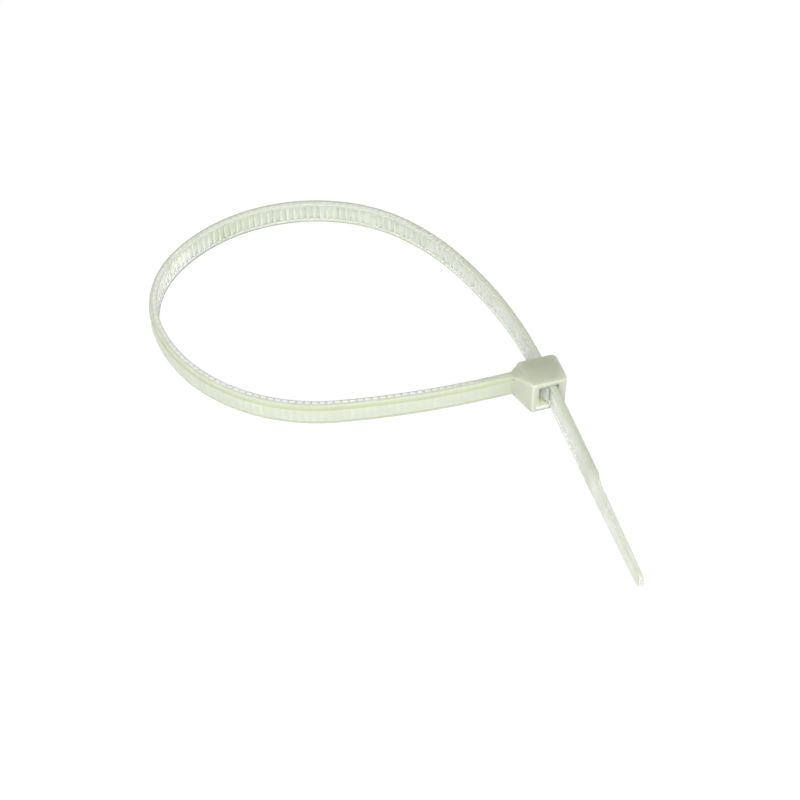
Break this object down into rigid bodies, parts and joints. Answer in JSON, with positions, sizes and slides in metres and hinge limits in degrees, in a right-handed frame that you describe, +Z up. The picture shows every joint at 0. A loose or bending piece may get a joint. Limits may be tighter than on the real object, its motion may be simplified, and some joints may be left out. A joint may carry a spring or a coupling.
{
  "type": "cable tie",
  "caption": "Moulded nylon cable tie closed into a loose loop: a toothed strap drawn through a small locking head, with a smooth, tapering tail.",
  "frame": {"origin": "on the bench, under the middle of the tie's box as it lies on its edge", "axes": "+X to the picture's right, +Y away from the camera, +Z up, across the strap's width"},
  "size_m": [0.0676, 0.0738, 0.0053],
  "materials": {
    "nylon": "natural translucent nylon with a soft moulded gloss"
  },
  "bodies": {
    "root": {"cable_tie": "nylon"}
  },
  "joints": []
}
